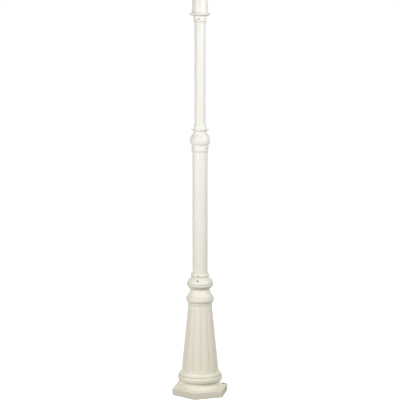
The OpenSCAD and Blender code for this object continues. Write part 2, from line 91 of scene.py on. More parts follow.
# Painted shade in hollows narrower than HOLLOW_REACH, in metres. HOLLOW_SPAN is the openness where
# it starts and where it is full, and in patches it falls to the least share given last
HOLLOW_REACH = 0.008
HOLLOW_SPAN = (0.8, 0.3)
HOLLOW_SHADE = 0.9
HOLLOW_SHADE_SPAN = (0.3, 0.7)
HOLLOW_SHADE_LEAST = 0.6

# Painted warm floor bounce on the lowest part, which makes the paint warmer and a little darker
# there, heights in metres
LOW_BOUNCE_SHARE = 0.21
LOW_BOUNCE_LOW_Z = 0.20
LOW_BOUNCE_HIGH_Z = 0.85

# Painted shade on the foot's upright sides, which are rough too, heights in metres
FOOT_SIDE_SHADE = 0.12
EDGE_LOW_Z = 0.029
EDGE_HIGH_Z = 0.035
EDGE_ROUGHNESS = 0.85

# Painted shade in the crease above the base moulding and in the joint under the neck, in metres
JOINT_LEVELS = (0.0965, 0.442)
JOINT_NEAR = 0.0007
JOINT_FAR = 0.0016
JOINT_SHADE = 0.75

# Dulled steel, with a depth in metres. The paint in the lock screws ends between FILL_NEAR and
# FILL_FAR, as shares of the body radius
STEEL_SPAN = (0.35, 0.7)
STEEL_DULL_SPAN = (0.3, 0.7)
STEEL_ROUGHNESS = (0.45, 0.7)
STEEL_BUMP = 0.4
STEEL_DEPTH = 0.0002
STEEL_METALLIC = 0.6
FILL_NEAR = 0.5
FILL_FAR = 0.62

# Reading a node's outline: WELD is in metres, STRAIGHT_TURN in radians, the rest in mm
WELD = 1e-6
STRAIGHT_TURN = 0.002
SLICE_STEP = 0.001
OUTSIDE_SLACK = 0.02
NEAR_MM = 0.01

# Turned pieces, in mm
TURN_STEPS = 160
SOFT_TURN = math.radians(25)
SHARP_EDGE = math.radians(32)
ROUNDING = 0.9
ROUND_STEPS = 4
ROUND_SHARE = 0.45
FINE_STEPS = 3
UNEVEN_RUNS = 2.5
LEAST_BEND = 0.01
LEAST_RUN = 0.3

# Set screws, as shares of their body radius
SCREW_NUMBERS = (1, 2, 3)
SCREW_STEPS = 48
SCREW_CHAMFER = 0.14
SCREW_TIP = 0.1
SOCKET_R = 0.55
SOCKET_DEPTH = 0.6
SOCKET_EDGE = 0.06
SOCKET_CONE = 0.12

# The holes of the set screws, in mm
HOLE_CLEARANCE = 0.1
HOLE_START = 1.0
HOLE_SPARE = 12.0
HOLE_STEPS = 48

# The hexagonal foot, in mm. EDGE_WIDTH is more than its rounded upper edge takes up, RIM_LEAST
# is less than its rim on the ground, and COVE_SLACK keeps the hollow curve round
FRONT = -math.pi / 2
SIDES = 6
SIDE_ANGLE = 2 * math.pi / SIDES
CORNER_STEPS = 3
EDGE_WIDTH = 3.2
RIM_LEAST = 1.0
COVE_SLACK = 0.05

# The pedestal's grid, in mm. The column's hollow lies within COLUMN_HOLLOW_R, its outside beyond
PEDESTAL_STEPS = 216
PEDESTAL_FINE_STEPS = 2
COLUMN_HOLLOW_R = 57.0
ROW_MARGIN = 1.0
FIRST_ROW = 2.0
ROW_STEP = 8.0
FINE_ROW_STEP = 1.5
FLUTE_END_MIDDLE = 5.0
FLUTE_END_HALF = 14.0

# The flutes, in mm, cut by a round tool. Their soft rims fade out where it is FLUTE_CLEAR away
FLUTE_COUNT = 12
FLUTE_TOOL_R = 30.0
FLUTE_DEPTH = 2.0
FLUTE_LOW_Z = 130.8
FLUTE_HIGH_Z = 411.2
FLUTE_SOFTNESS = 0.5
FLUTE_CLEAR = 2.0
FLUTE_FADE = 1.5

# Painted shade along the flutes: its share, how far it reaches in flute widths, and its ends in mm
FLUTE_SHADE = 0.15
FLUTE_SHADE_REACH = 0.17
FLUTE_SHADE_FADE = 8.0

# Anchor holes at every other corner, their seats, and the bosses and ribs under them, in mm
ANCHORS = next(m["dims"] for m in frame["record"]["mounts"] if m["name"] == "anchor_holes")
ANCHOR_COUNT = ANCHORS["count"]
ANCHOR_ANGLES = [FRONT + 2 * math.pi * i / ANCHOR_COUNT for i in range(ANCHOR_COUNT)]
ANCHOR_R = ANCHORS["pcd_mm"] / 2
ANCHOR_HOLE_R = ANCHORS["hole_r_mm"]
ANCHOR_SPARE = 2.0
# painted shade on the walls of the two rear anchor holes fades out between these, beyond the hole's
# radius
HOLE_SHADE_NEAR = 0.2
HOLE_SHADE_FAR = 0.5
SEAT_R = 12.0
SEAT_Z = 34.0
SEAT_SINK = 0.02
SEAT_CUT_H = 6.0
SEAT_STEPS = 64
BOSS_TOP_Z = 31.0
BOSS_STEPS = 40
RIB_HALF = 3.0
RIB_INSET = 3.0

# Soft studio light, in metres and watts
AMBIENT = 0.10
AMBIENT_COLOUR = (1.0, 1.0, 0.9)
SOFTBOXES = (
    # name, place, size, watts, colour, and whether it shows in reflections
    ("key_light", (2.1, -2.1, 1.9), (1.0, 1.4), 39.0, (0.975, 1.0, 1.0), True),
    ("left_light", (-1.3, -2.8, 1.6), (0.8, 1.6), 52.5, (0.985, 1.0, 1.0), True),
    ("low_left_light", (-2.6, -1.3, 0.9), (1.0, 1.2), 17.5, (1.0, 0.99, 0.98), True),
    ("high_right_light", (2.6, -0.5, 2.7), (1.0, 1.2), 31.0, (0.975, 1.0, 1.0), True),
    ("back_light", (-0.65, 3.0, 1.9), (1.2, 1.4), 42.0, (1.0, 1.0, 0.97), False),
    ("right_light", (2.9, -0.3, 1.9), (1.0, 1.6), 6.0, (0.95, 1.0, 0.97), True),
)
LIGHT_AIM = Vector((0, 0, 1.0))

# The floor, in metres, and its glow, which is weaker near the foot
FLOOR_HALF = 12.0
FLOOR_BOUNCE = (0.23, 0.19, 0.13)
FLOOR_SEEN = (0.5, 0.5, 0.5)
FLOOR_ROUGHNESS = 0.9
FLOOR_GLOW = 0.82
SHADE_NEAR = 0.25
SHADE_FAR = 0.6

# A set screw's place, read from its node: an angle, then its ends, height and radius in mm
Screw = namedtuple("Screw", "angle inner outer z r")


def new_material(name):
    """An empty node material with a shader and its output."""
    material = bpy.data.materials.new(name)
    material.use_nodes = True
    tree = material.node_tree
    tree.nodes.clear()
    shader = tree.nodes.new("ShaderNodeBsdfPrincipled")
    output = tree.nodes.new("ShaderNodeOutputMaterial")
    tree.links.new(shader.outputs["BSDF"], output.inputs["Surface"])
    return material, tree, shader


def noise(tree, position, scale, detail):
    """The value of a noise texture over the object's own coordinates."""
    node = tree.nodes.new("ShaderNodeTexNoise")
    node.inputs["Scale"].default_value = scale
    node.inputs["Detail"].default_value = detail
    tree.links.new(position, node.inputs["Vector"])
    return node.outputs["Fac"]


def remap(tree, value, low, high, to_low, to_high):
    """value from low..high carried to to_low..to_high."""
    node = tree.nodes.new("ShaderNodeMapRange")
    slots = ("From Min", "From Max", "To Min", "To Max")
    for slot, number in zip(slots, (low, high, to_low, to_high)):
        node.inputs[slot].default_value = number
    tree.links.new(value, node.inputs["Value"])
    return node.outputs["Result"]


def mix_colour(tree, factor, colour_a, colour_b):
    """colour_a where factor is 0, colour_b where it is 1. Either may be a socket."""
    node = tree.nodes.new("ShaderNodeMix")
    node.data_type = "RGBA"
    tree.links.new(factor, node.inputs["Factor"])
    colour_slots = [slot for slot in node.inputs if slot.type == "RGBA"]
    for slot, colour in zip(colour_slots, (colour_a, colour_b)):
        if isinstance(colour, tuple):
            slot.default_value = (*colour, 1.0)
        else:
            tree.links.new(colour, slot)
    return next(slot for slot in node.outputs if slot.type == "RGBA")


def math_node(tree, operation, *values):
    """One step of arithmetic on values, each a float or a socket."""
    node = tree.nodes.new("ShaderNodeMath")
    node.operation = operation
    for slot, value in zip(node.inputs, values):
        if isinstance(value, float):
            slot.default_value = value
        else:
            tree.links.new(value, slot)
    return node.outputs["Value"]


def smallest(tree, values):
    """The smallest of several sockets."""
    least = values[0]
    for value in values[1:]:
        least = math_node(tree, "MINIMUM", least, value)
    return least


def vector_math(tree, operation, vector, other):
    """One step of vector arithmetic with a constant vector."""
    node = tree.nodes.new("ShaderNodeVectorMath")
    node.operation = operation
    tree.links.new(vector, node.inputs[0])
    node.inputs[1].default_value = other
    return node.outputs["Value" if operation == "DISTANCE" else "Vector"]


def seen_rays(tree):
    """1 for what the camera sees, directly, in gloss or through glass, and 0 for light."""
    path = tree.nodes.new("ShaderNodeLightPath").outputs
    gloss = math_node(tree, "MAXIMUM", path["Is Glossy Ray"], path["Is Transmission Ray"])
    return math_node(tree, "MAXIMUM", path["Is Camera Ray"], gloss)


def bump(tree, height, strength, distance, under=None):
    """A bump from height, laid over the bump under it."""
    node = tree.nodes.new("ShaderNodeBump")
    node.inputs["Strength"].default_value = strength
    node.inputs["Distance"].default_value = distance
    tree.links.new(height, node.inputs["Height"])
    if under is not None:
        tree.links.new(under, node.inputs["Normal"])
    return node.outputs["Normal"]


def object_coords(tree):
    """The object's own coordinates, and the outputs that hold its X, Y and Z."""
    coords = tree.nodes.new("ShaderNodeTexCoord").outputs["Object"]
    parts = tree.nodes.new("ShaderNodeSeparateXYZ")
    tree.links.new(coords, parts.inputs["Vector"])
    return coords, parts.outputs


def rear_hole_shade(tree, coords):
    """1 where painted shade darkens the walls of the two anchor holes at the back, 0 elsewhere."""
    flat = vector_math(tree, "MULTIPLY", coords, (1.0, 1.0, 0.0))
    centres = [
        (ANCHOR_R * MM * math.cos(angle), ANCHOR_R * MM * math.sin(angle), 0.0)
        for angle in ANCHOR_ANGLES[1:]
    ]
    nearest = smallest(tree, [vector_math(tree, "DISTANCE", flat, c) for c in centres])
    return remap(
        tree, nearest, (ANCHOR_HOLE_R + HOLE_SHADE_NEAR) * MM, (ANCHOR_HOLE_R + HOLE_SHADE_FAR) * MM, 1.0, 0.0
    )


def hollow_shade(tree, coords):
    """The share of patchy painted shade in narrow hollows, which is 0 on open surfaces."""
    hollow = tree.nodes.new("ShaderNodeAmbientOcclusion")
    hollow.inputs["Distance"].default_value = HOLLOW_REACH
    occluded = remap(tree, hollow.outputs["AO"], *HOLLOW_SPAN, 0.0, 1.0)
    patches = noise(tree, coords, *HOLLOW_SHADE_NOISE)
    patchy = remap(tree, patches, *HOLLOW_SHADE_SPAN, HOLLOW_SHADE_LEAST * HOLLOW_SHADE, HOLLOW_SHADE)
    return math_node(tree, "MULTIPLY", occluded, patchy)


def joint_shade(tree, height):
    """The share of painted shade in the joints and creases, which is 0 away from them."""
    reaches = [
        math_node(tree, "ABSOLUTE", math_node(tree, "SUBTRACT", height, level))
        for level in JOINT_LEVELS
    ]
    return remap(tree, smallest(tree, reaches), JOINT_NEAR, JOINT_FAR, JOINT_SHADE, 0.0)


def flute_shade(tree, parts):
    """The share of painted shade along the middle of each flute, which is 0 away from it."""
    angle = math_node(tree, "ARCTAN2", parts["Y"], parts["X"])
    pitches = math_node(tree, "MULTIPLY", angle, FLUTE_COUNT / (2 * math.pi))
    turn = math_node(tree, "FRACT", pitches)
    off = math_node(tree, "ABSOLUTE", math_node(tree, "SUBTRACT", turn, 0.5))
    share = remap(tree, off, 0.0, FLUTE_SHADE_REACH, FLUTE_SHADE, 0.0)
    for level, step in ((FLUTE_LOW_Z, -FLUTE_SHADE_FADE), (FLUTE_HIGH_Z, FLUTE_SHADE_FADE)):
        near = remap(tree, parts["Z"], level * MM, (level + step) * MM, 1.0, 0.0)
        share = math_node(tree, "MULTIPLY", share, near)
    return share


def ivory_paint(name, grain_strength, with_hole_shade=False):
    """Gloss paint, faintly mottled, with orange peel and grain. Painted warm floor bounce tints it
    low on the post, and painted shade darkens its hollows, joints and flutes and the foot's upright
    sides."""
    material, tree, shader = new_material(name)
    coords, parts = object_coords(tree)
    height = parts["Z"]
    mottle = noise(tree, coords, *MOTTLE_NOISE)
    colour = mix_colour(tree, remap(tree, mottle, *MOTTLE_SPAN, 0.0, 1.0), IVORY, IVORY_WARM)
    # painted warm floor bounce, stronger towards the bottom
    low_bounce = remap(tree, height, LOW_BOUNCE_LOW_Z, LOW_BOUNCE_HIGH_Z, LOW_BOUNCE_SHARE, 0.0)
    colour = mix_colour(tree, low_bounce, colour, LOW_BOUNCE_TINT)
    # painted shade in hollows, joints and flutes
    painted_shade = math_node(tree, "MAXIMUM", hollow_shade(tree, coords), joint_shade(tree, height))
    painted_shade = math_node(tree, "ADD", painted_shade, flute_shade(tree, parts))
    # painted shade on the foot's upright sides
    edge = remap(tree, height, EDGE_LOW_Z, EDGE_HIGH_Z, FOOT_SIDE_SHADE, 0.0)
    colour = mix_colour(tree, math_node(tree, "ADD", painted_shade, edge), colour, PAINTED_SHADE_COLOUR)
    # painted shade in the rear anchor holes
    if with_hole_shade:
        colour = mix_colour(tree, rear_hole_shade(tree, coords), colour, HOLE_SHADE_COLOUR)
    tree.links.new(colour, shader.inputs["Base Color"])
    normal = bump(tree, noise(tree, coords, *PEEL_NOISE), PEEL_STRENGTH, PEEL_DEPTH)
    grain = noise(tree, coords, *GRAIN_NOISE)
    tree.links.new(bump(tree, grain, grain_strength, GRAIN_DEPTH, normal), shader.inputs["Normal"])
    gloss = remap(tree, mottle, *GLOSS_SPAN, *GLOSS_ROUGHNESS)
    dull = remap(tree, height, EDGE_LOW_Z, EDGE_HIGH_Z, EDGE_ROUGHNESS, 0.0)
    tree.links.new(math_node(tree, "MAXIMUM", gloss, dull), shader.inputs["Roughness"])
    shader.inputs["Specular IOR Level"].default_value = PAINT_SPECULAR
    shader.inputs["Coat Weight"].default_value = COAT_WEIGHT
    shader.inputs["Coat Roughness"].default_value = COAT_ROUGHNESS
    return material


def lock_paint(tree, coords):
    """1 in the middle of the lock screws, where paint has filled their sockets, 0 elsewhere."""
    screws = [read_screw(f"lock_screw_{number}") for number in SCREW_NUMBERS]
    reaches = []
    for screw in screws:
        out = screw.outer * MM
        centre = (out * math.cos(screw.angle), out * math.sin(screw.angle), screw.z * MM)
        reaches.append(vector_math(tree, "DISTANCE", coords, centre))
    body_r = screws[0].r * MM
    return remap(tree, smallest(tree, reaches), FILL_NEAR * body_r, FILL_FAR * body_r, 1.0, 0.0)


def screw_steel():
    """Dull, darkened steel of the socket screws."""
    material, tree, shader = new_material("screw_steel")
    coords = tree.nodes.new("ShaderNodeTexCoord").outputs["Object"]
    patches = noise(tree, coords, *STEEL_NOISE)
    colour = mix_colour(tree, remap(tree, patches, *STEEL_SPAN, 0.0, 1.0), SCREW_DARK, SCREW_LIGHT)
    colour = mix_colour(tree, lock_paint(tree, coords), colour, IVORY)
    tree.links.new(colour, shader.inputs["Base Color"])
    roughness = remap(tree, patches, *STEEL_DULL_SPAN, *STEEL_ROUGHNESS)
    tree.links.new(roughness, shader.inputs["Roughness"])
    tree.links.new(bump(tree, patches, STEEL_BUMP, STEEL_DEPTH), shader.inputs["Normal"])
    shader.inputs["Metallic"].default_value = STEEL_METALLIC
    return material


def slot_of(node_name):
    """The material slot that the record gives a node."""
    rows = frame["record"]["subparts"]
    return next(row["material_slot"] for row in rows if row["node"] == node_name)


def add_piece(name, node_name, mesh, materials):
    """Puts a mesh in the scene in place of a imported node."""
    slot = slot_of(node_name)
    piece = bpy.data.objects.new(name, mesh)
    bpy.context.scene.collection.objects.link(piece)
    mesh.materials.clear()
    mesh.materials.append(materials[slot])
    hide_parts(node_name)
    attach(piece, "root")


def smooth(mesh):
    """Smooth shading, with the sharp edges kept."""
    mesh.polygons.foreach_set("use_smooth", [True] * len(mesh.polygons))
    mesh.set_sharp_from_angle(angle=SHARP_EDGE)


def section(node):
    """The closed outline, as (r, z) in mm, where the half-plane of +X cuts a node."""
    work = bmesh.new()
    work.from_mesh(node.data)
    work.transform(node.matrix_world)
    bmesh.ops.remove_doubles(work, verts=work.verts, dist=WELD)
    bmesh.ops.bisect_plane(
        work, geom=work.verts[:] + work.edges[:] + work.faces[:], dist=WELD,
        plane_co=(0, 0, 0), plane_no=(0, 1, 0),
    )
    near = {}
    for edge in work.edges:
        a, b = edge.verts
        if all(abs(v.co.y) < 2 * WELD and v.co.x > 0 for v in (a, b)):
            near.setdefault(a, []).append(b)
            near.setdefault(b, []).append(a)
    start = min(near, key=lambda v: (v.co.z, v.co.x))
    chain, last = [start], None
    while True:
        options = [v for v in near[chain[-1]] if v is not last]
        step = min(options, key=lambda v: (v.co - chain[-1].co).length)
        if step is start:
            break
        last = chain[-1]
        chain.append(step)
    points = [(v.co.x / MM, v.co.z / MM) for v in chain]
    work.free()
    area = sum(a[0] * b[1] - b[0] * a[1] for a, b in zip(points, points[1:] + points[:1]))
    if area < 0:
        points.reverse()
    return straighten(points)


def turn_at(before, here, after):
    """The signed turn of a path at one point."""
    a = math.atan2(here[1] - before[1], here[0] - before[0])
    b = math.atan2(after[1] - here[1], after[0] - here[0])
    return (b - a + math.pi) % (2 * math.pi) - math.pi


def straighten(points):
    """The outline without the points that lie on a straight run."""
    count = len(points)
    return [
        points[i] for i in range(count)
        if abs(turn_at(points[i - 1], points[i], points[(i + 1) % count])) > STRAIGHT_TURN
    ]


def on_outside(outline, point):
    """Whether no part of the outline lies farther out, just above or just below a point."""
    for z in (point[1] - SLICE_STEP, point[1] + SLICE_STEP):
        beyond = False
        for a, b in zip(outline, outline[1:] + outline[:1]):
            if min(a[1], b[1]) < z < max(a[1], b[1]):
                r = a[0] + (b[0] - a[0]) * (z - a[1]) / (b[1] - a[1])
                beyond = beyond or r > point[0] + OUTSIDE_SLACK
        if not beyond:
            return True
    return False


def round_corners(outline, radius):
    """The outline with its outer corners rounded."""
    count = len(outline)
    rounded = []
    for i, here in enumerate(outline):
        before, after = outline[i - 1], outline[(i + 1) % count]
        turn = turn_at(before, here, after)
        if abs(turn) < SOFT_TURN or not on_outside(outline, here):
            rounded.append(here)
            continue
        reach = min(
            radius * math.tan(abs(turn) / 2),
            ROUND_SHARE * math.dist(before, here), ROUND_SHARE * math.dist(here, after),
        )
        start = along(here, before, reach)
        end = along(here, after, reach)
        for k in range(ROUND_STEPS + 1):
            t = k / ROUND_STEPS
            rounded.append(tuple(
                (1 - t) ** 2 * s + 2 * t * (1 - t) * h + t ** 2 * e
                for s, h, e in zip(start, here, end)
            ))
    return rounded


def along(here, there, distance):
    """The point at a distance from here towards there."""
    share = distance / math.dist(here, there)
    return tuple(h + (t - h) * share for h, t in zip(here, there))


def heading(outline, lengths, units, k, own):
    """The direction that the curve has at point k, for the run that points in own."""
    turn = turn_at(outline[k - 1], outline[k], outline[(k + 1) % len(outline)])
    into, out = lengths[k - 1], lengths[k]
    if abs(turn) > SOFT_TURN:
        return own
    if into > UNEVEN_RUNS * out:
        return units[k - 1]
    if out > UNEVEN_RUNS * into:
        return units[k]
    mixed = [p * out + q * into for p, q in zip(units[k - 1], units[k])]
    size = math.hypot(*mixed)
    return tuple(m / size for m in mixed)


def curve_point(t, a, b, heads, length):
    """A point on the cubic from a to b, which has the two headings at its ends."""
    return tuple(
        (2 * t ** 3 - 3 * t ** 2 + 1) * p + (t ** 3 - 2 * t ** 2 + t) * length * m
        + (3 * t ** 2 - 2 * t ** 3) * q + (t ** 3 - t ** 2) * length * n
        for p, q, m, n in zip(a, b, *heads)
    )


def refine(outline, fine_steps):
    """The outline with its curves drawn in finer steps, and its straight runs kept."""
    count = len(outline)
    runs = list(zip(outline, outline[1:] + outline[:1]))
    lengths = [math.dist(a, b) for a, b in runs]
    units = [tuple((q - p) / size for p, q in zip(a, b)) for (a, b), size in zip(runs, lengths)]
    fine = []
    for i, (a, b) in enumerate(runs):
        heads = [heading(outline, lengths, units, k, units[i]) for k in (i, (i + 1) % count)]
        bent = any(math.dist(head, units[i]) > LEAST_BEND for head in heads)
        steps = fine_steps if bent and lengths[i] >= LEAST_RUN else 1
        fine.append(a)
        fine += [curve_point(k / steps, a, b, heads, lengths[i]) for k in range(1, steps)]
    return fine


def band_faces(steps, rows, closed):
    """The faces between rings of points, the last ring joined to the first if closed."""
    faces = []
    for j in range(rows if closed else rows - 1):
        lower, upper = j * steps, (j + 1) % rows * steps
        for k in range(steps):
            n = (k + 1) % steps
            faces.append((lower + k, lower + n, upper + n, upper + k))
    return faces


def ring_grid(name, rings):
    """A closed skin over rings of (x, y, z) in mm, the last ring joined to the first."""
    verts = [tuple(c * MM for c in point) for ring in rings for point in ring]
    mesh = bpy.data.meshes.new(name)
    mesh.from_pydata(verts, [], band_faces(len(rings[0]), len(rings), True))
    return mesh


def outward_mesh(name, verts, faces):
    """A mesh of a closed body, with its faces turned outwards."""
    mesh = bpy.data.meshes.new(name)
    mesh.from_pydata(verts, [], faces)
    work = bmesh.new()
    work.from_mesh(mesh)
    bmesh.ops.recalc_face_normals(work, faces=work.faces)
    work.to_mesh(mesh)
    work.free()
    return mesh


def turned(name, outline):
    """A turned mesh from its closed outline."""
    angles = [2 * math.pi * k / TURN_STEPS for k in range(TURN_STEPS)]
    rings = [[(r * math.cos(a), r * math.sin(a), z) for a in angles] for r, z in outline]
    return ring_grid(name, rings)


def closed_prism(outline, length):
    """A closed prism of (x, y) points, from z = 0 to its length, as verts and faces."""
    count = len(outline)
    verts = [(x, y, z) for z in (0.0, length) for x, y in outline]
    faces = [tuple(reversed(range(count))), tuple(range(count, 2 * count))]
    return verts, faces + band_faces(count, 2, False)


def circle(radius, steps, centre=(0.0, 0.0)):
    """Points of a circle, anticlockwise."""
    turns = [2 * math.pi * k / steps for k in range(steps)]
    return [(centre[0] + radius * math.cos(a), centre[1] + radius * math.sin(a)) for a in turns]


def tool(prisms):
    """One scratch object from several prisms, each with its own placing."""
    verts, faces = [], []
    for (points, sides), place in prisms:
        base = len(verts)
        verts += [tuple(c * MM for c in place(p)) for p in points]
        faces += [tuple(base + i for i in side) for side in sides]
    thing = bpy.data.objects.new("tool", outward_mesh("tool", verts, faces))
    bpy.context.scene.collection.objects.link(thing)
    return thing


def combine(mesh, operation, other):
    """The mesh after a boolean with another object, which is used up."""
    thing = bpy.data.objects.new("work", mesh)
    bpy.context.scene.collection.objects.link(thing)
    step = thing.modifiers.new("step", "BOOLEAN")
    step.operation = operation
    step.solver = "EXACT"
    step.object = other
    graph = bpy.context.evaluated_depsgraph_get()
    done = bpy.data.meshes.new_from_object(thing.evaluated_get(graph))
    for used in (thing, other):
        bpy.data.objects.remove(used)
    done.name = mesh.name
    return done


def read_screw(node_name):
    """Where a screw sits and how large it is, from its node."""
    node = frame["nodes"][node_name]
    points = [node.matrix_world @ v.co / MM for v in node.data.vertices]
    middle = sum(points, Vector()) / len(points)
    angle = math.atan2(middle.y, middle.x)
    out = Vector((math.cos(angle), math.sin(angle), 0))
    reach = [p.dot(out) for p in points]
    low, high = min(p.z for p in points), max(p.z for p in points)
    return Screw(angle, min(reach), max(reach), (high + low) / 2, (high - low) / 2)


def radial(angle, z, start=0.0):
    """Placing that turns a prism's length outwards at an angle and a height, from a radius."""
    cos_a, sin_a = math.cos(angle), math.sin(angle)
    return lambda p: (
        (p[2] + start) * cos_a - p[1] * sin_a, (p[2] + start) * sin_a + p[1] * cos_a, z - p[0]
    )


def upright(angle, z):
    """Placing that turns an upright prism about the axis and lifts it."""
    cos_a, sin_a = math.cos(angle), math.sin(angle)
    return lambda p: (p[0] * cos_a - p[1] * sin_a, p[0] * sin_a + p[1] * cos_a, p[2] + z)


def hexagon_r(angle, corner_r):
    """Radius of a hexagon at an angle, with a corner of corner_r at angle 0."""
    half = SIDE_ANGLE / 2
    return corner_r * math.cos(half) / math.cos(angle % SIDE_ANGLE - half)


def screw_mesh(name, node_name):
    """A round set screw with a chamfered end and a hexagonal socket."""
    angle, inner, outer, z, body_r = read_screw(node_name)
    chamfer = SCREW_CHAMFER * body_r
    edge = SOCKET_EDGE * body_r
    tip = SCREW_TIP * body_r
    floor = outer - SOCKET_DEPTH * body_r
    turns = [2 * math.pi * k / SCREW_STEPS for k in range(SCREW_STEPS)]
    socket = [hexagon_r(a, SOCKET_R * body_r) for a in turns]
    levels = [
        [(tip, inner)] * SCREW_STEPS,
        [(body_r - chamfer, inner)] * SCREW_STEPS,
        [(body_r, inner + chamfer)] * SCREW_STEPS,
        [(body_r, outer - chamfer)] * SCREW_STEPS,
        [(body_r - chamfer, outer)] * SCREW_STEPS,
        [(r + edge, outer) for r in socket],
        [(r, outer - edge) for r in socket],
        [(r, floor) for r in socket],
        [(tip, floor - SOCKET_CONE * body_r)] * SCREW_STEPS,
    ]
    place = radial(angle, z)
    verts = [
        tuple(c * MM for c in place((r * math.cos(a), r * math.sin(a), x)))
        for level in levels for (r, x), a in zip(level, turns)
    ]
    faces = band_faces(SCREW_STEPS, len(levels), False)
    faces.append(tuple(reversed(range(SCREW_STEPS))))
    faces.append(tuple(range(len(verts) - SCREW_STEPS, len(verts))))
    mesh = outward_mesh(name, verts, faces)
    smooth(mesh)
    return mesh


def build_turned(materials, name, node_name, screws=()):
    """A turned piece from its node's section, with the holes of its screws."""
    outline = round_corners(section(frame["nodes"][node_name]), ROUNDING)
    mesh = turned(name, refine(outline, FINE_STEPS))
    if screws:
        holes = []
        for screw in map(read_screw, screws):
            length = screw.outer - screw.inner + HOLE_SPARE
            hole = closed_prism(circle(screw.r + HOLE_CLEARANCE, HOLE_STEPS), length)
            holes.append((hole, radial(screw.angle, screw.z, screw.inner - HOLE_START)))
        mesh = combine(mesh, "DIFFERENCE", tool(holes))
    smooth(mesh)
    add_piece(name, node_name, mesh, materials)


def corner_turn(corner_r, round_r):
    """Half the angle that a rounded corner of the foot takes up, seen from the axis."""
    half = SIDE_ANGLE / 2
    return math.atan2(round_r / 2, corner_r - round_r + round_r * math.cos(half))


def pedestal_angles(corner_r, round_r):
    """The angles of the pedestal's grid, which lie closer together at the foot's corners."""
    angles = [FRONT + 2 * math.pi * k / PEDESTAL_STEPS for k in range(PEDESTAL_STEPS)]
    half = corner_turn(corner_r, round_r)
    for corner in range(SIDES):
        middle = FRONT + corner * SIDE_ANGLE
        for side in (-1, 1):
            angles += [middle + side * k / CORNER_STEPS * half for k in range(1, CORNER_STEPS + 1)]
    return sorted(angles)


def foot_shape(angle, flat_r, corner_r, round_r):
    """Radius of a hexagon with rounded corners at an angle, one corner in front."""
    off = abs((angle - FRONT + SIDE_ANGLE / 2) % SIDE_ANGLE - SIDE_ANGLE / 2)
    centre_r = corner_r - round_r
    if off < corner_turn(corner_r, round_r):
        return centre_r * math.cos(off) + math.sqrt(round_r ** 2 - (centre_r * math.sin(off)) ** 2)
    return flat_r / math.cos(SIDE_ANGLE / 2 - off)


def flute(angle, r, z):
    """Depth of the flutes below the column's plain surface of radius r."""
    pitch = 2 * math.pi / FLUTE_COUNT
    off = (angle - FRONT) % pitch - pitch / 2
    past = max(FLUTE_LOW_Z - z, z - FLUTE_HIGH_Z, 0.0)
    if past >= FLUTE_TOOL_R:
        return 0.0
    centre = r + FLUTE_TOOL_R - FLUTE_DEPTH
    inside = FLUTE_TOOL_R ** 2 - past ** 2 - (centre * math.sin(off)) ** 2
    if inside <= 0:
        return 0.0
    depth = r - (centre * math.cos(off) - math.sqrt(inside))
    fade = min(1.0, max(0.0, (depth + FLUTE_CLEAR) / FLUTE_FADE))
    return fade * 0.5 * (depth + math.sqrt(depth ** 2 + FLUTE_SOFTNESS ** 2))


def column_rows(outline):
    """The outline with rows added along the column, close together at the flutes' ends."""
    count = len(outline)
    index = max(range(count), key=lambda i: outline[(i + 1) % count][1] - outline[i][1])
    (r0, z0), (r1, z1) = outline[index], outline[(index + 1) % count]
    ends = (FLUTE_LOW_Z - FLUTE_END_MIDDLE, FLUTE_HIGH_Z + FLUTE_END_MIDDLE)
    heights, z = [], z0 + FIRST_ROW
    while z < z1 - ROW_MARGIN:
        heights.append(z)
        near_end = min(abs(z - end) for end in ends) < FLUTE_END_HALF
        z += FINE_ROW_STEP if near_end else ROW_STEP
    rows = [(r0 + (r1 - r0) * (z - z0) / (z1 - z0), z) for z in heights]
    return outline[:index + 1] + rows + outline[index + 1:], (z0, z1)


def pedestal_skin():
    """The pedestal's grid, without its anchor holes, and the radius of the foot's corners."""
    node = frame["nodes"]["pedestal"]
    sharp = section(node)
    cos_half = math.cos(SIDE_ANGLE / 2)
    flat_r = max(r for r, z in sharp)
    corner_r = max((node.matrix_world @ v.co).y for v in node.data.vertices) / MM
    round_r = (flat_r - corner_r * cos_half) / (1 - cos_half)
    pocket_r = max(r for r, z in sharp if z < NEAR_MM and r < flat_r - RIM_LEAST)
    roof_z = max(z for r, z in sharp if abs(r - pocket_r) < NEAR_MM)
    cove_r = max(r for r, z in sharp if z > SEAT_Z - NEAR_MM and r < flat_r - EDGE_WIDTH)
    outline, (column_low, column_high) = column_rows(
        refine(round_corners(sharp, ROUNDING), PEDESTAL_FINE_STEPS)
    )
    angles = pedestal_angles(corner_r, round_r)
    foot_rs = [foot_shape(a, flat_r, corner_r, round_r) for a in angles]
    pocket_rs = [foot_shape(a, pocket_r, pocket_r / cos_half, 0.0) for a in angles]
    rings = []
    for r, z in outline:
        if z <= roof_z + NEAR_MM and abs(r - pocket_r) < NEAR_MM:
            radii = pocket_rs
        elif z <= SEAT_Z + NEAR_MM and r > cove_r + COVE_SLACK:
            radii = [r + foot_r - flat_r for foot_r in foot_rs]
        elif column_low < z < column_high and r > COLUMN_HOLLOW_R:
            radii = [r - flute(a, r, z) for a in angles]
        else:
            radii = [r] * len(angles)
        rings.append([(s * math.cos(a), s * math.sin(a), z) for s, a in zip(radii, angles)])
    return ring_grid("pedestal_casting", rings), corner_r


def boss_outline(corner_r):
    """Outline of one anchor boss with its rib, along +X."""
    spread = math.asin(RIB_HALF / SEAT_R)
    turns = [spread + (2 * math.pi - 2 * spread) * k / BOSS_STEPS for k in range(BOSS_STEPS + 1)]
    points = [(ANCHOR_R + SEAT_R * math.cos(a), SEAT_R * math.sin(a)) for a in turns]
    rib_r = corner_r - RIB_INSET
    return points + [(rib_r, -RIB_HALF), (rib_r, RIB_HALF)]


def at_anchors(prism, z):
    """A scratch object with a copy of a prism at each anchor hole, lifted to z."""
    return tool([(prism, upright(angle, z)) for angle in ANCHOR_ANGLES])


